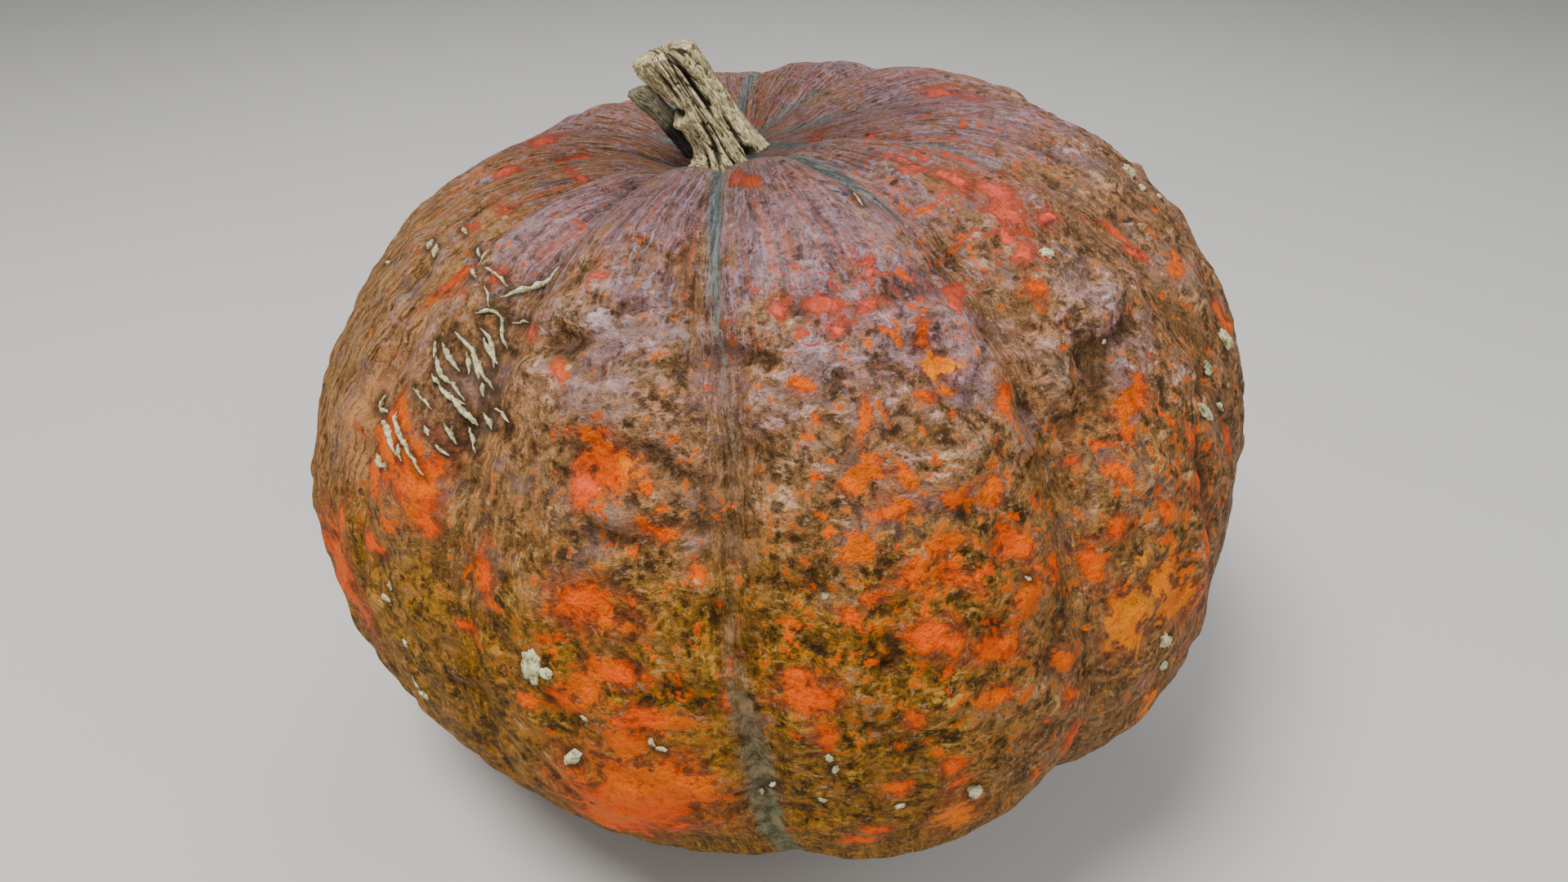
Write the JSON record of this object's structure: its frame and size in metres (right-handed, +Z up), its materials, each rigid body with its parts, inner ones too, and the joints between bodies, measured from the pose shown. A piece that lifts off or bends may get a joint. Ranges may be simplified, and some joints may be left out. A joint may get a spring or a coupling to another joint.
{
  "type": "pumpkin",
  "caption": "Whole ripe ribbed pumpkin, squat and lumpy, with a dry leaning stem and the stub of a side stalk, as picked and resting on its underside.",
  "frame": {"origin": "centre of the flat resting spot on the underside", "axes": "+Z straight up from the surface the pumpkin rests on, -Y towards the side seen in the picture, +X to the right as seen from -Y; the fruit's own axis leans 7.2 degrees from +Z towards -X, and so does the stem, further"},
  "size_m": [0.3016, 0.2998, 0.2312],
  "materials": {
    "skin": "waxy, mottled brown, mauve and orange fruit skin",
    "dry_wood": "dry, cracked, corky stalk",
    "charred_wood": "dry stalk, blackened at the foot"
  },
  "bodies": {
    "root": {"fruit": "skin", "stem": "dry_wood", "stem_stub": "charred_wood"}
  },
  "joints": []
}
